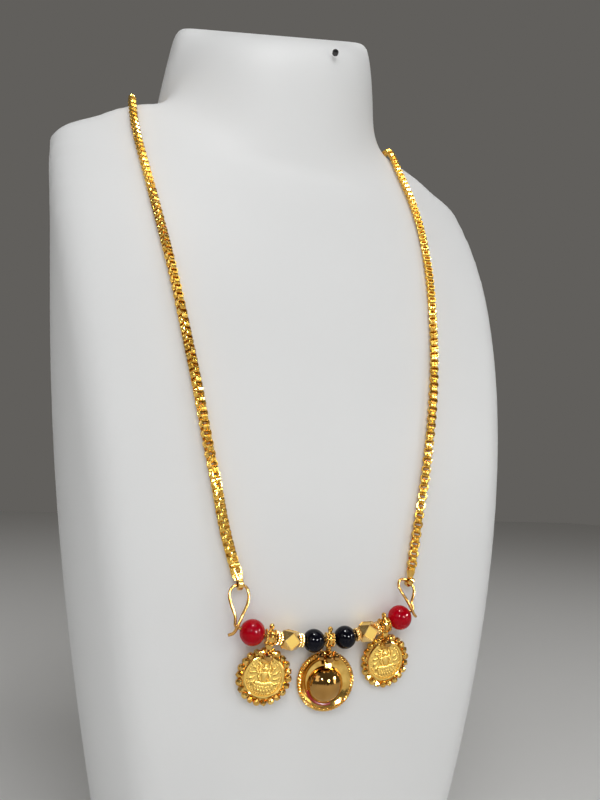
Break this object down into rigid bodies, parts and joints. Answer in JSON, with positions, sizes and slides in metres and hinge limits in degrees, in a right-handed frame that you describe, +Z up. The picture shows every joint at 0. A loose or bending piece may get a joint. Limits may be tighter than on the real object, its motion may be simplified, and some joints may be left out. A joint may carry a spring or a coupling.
{
  "type": "thali necklace on neck bust",
  "caption": "Gold box chain closed by a wire row of red, black and faceted gold beads with coin pendants and a domed thali, worn by a white neck bust.",
  "frame": {"origin": "centre of the bust's flat base", "axes": "+Z up to the neck, -Y the way the chest and the pendants face, +X to the right as seen from the front"},
  "size_m": [0.2196, 0.1867, 0.4337],
  "materials": {
    "bust_cover": "satin white",
    "chain_gold": "polished gold plate",
    "wire_gold": "polished gold wire",
    "pendant_gold": "polished gold plate",
    "bead_gold": "polished gold plate",
    "red_bead": "gloss",
    "black_bead": "gloss"
  },
  "bodies": {
    "root": {"neck_bust": "bust_cover", "bead_wire": "wire_gold", "chain_left": "chain_gold", "chain_right": "chain_gold", "chain_end_left": "chain_gold", "chain_end_right": "chain_gold", "coin_pendant_left": "pendant_gold", "coin_pendant_right": "pendant_gold", "thali_pendant": "pendant_gold", "red_bead_left": "red_bead", "black_bead_left": "black_bead", "faceted_bead_left": "bead_gold", "inner_spacer_left": "bead_gold", "outer_spacer_left": "bead_gold", "red_bead_right": "red_bead", "black_bead_right": "black_bead", "faceted_bead_right": "bead_gold", "inner_spacer_right": "bead_gold", "outer_spacer_right": "bead_gold"}
  },
  "joints": []
}
